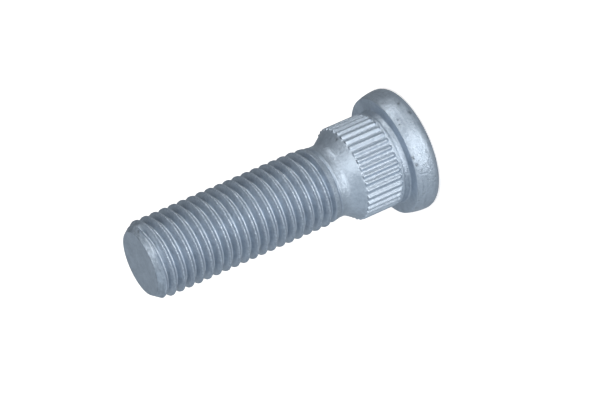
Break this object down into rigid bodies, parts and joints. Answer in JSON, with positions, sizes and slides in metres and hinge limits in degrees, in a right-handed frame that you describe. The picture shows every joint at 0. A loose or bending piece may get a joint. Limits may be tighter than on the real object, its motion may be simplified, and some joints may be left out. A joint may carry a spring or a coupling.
{
  "type": "wheel stud",
  "caption": "One-piece press-in wheel stud with a round flat head, splined shoulder, tapered neck and right-hand metric thread, in a matt grey zinc-flake coat.",
  "frame": {"origin": "centre of the head's flat outer face, which the stud stands on", "axes": "+Z along the stud's axis, from the head towards the threaded tip; X and Y across it"},
  "size_m": [0.0186, 0.0186, 0.0446],
  "materials": {
    "coated_steel": "matt blue-grey zinc-flake coating on forged steel"
  },
  "bodies": {
    "root": {"wheel_stud": "coated_steel"}
  },
  "joints": []
}
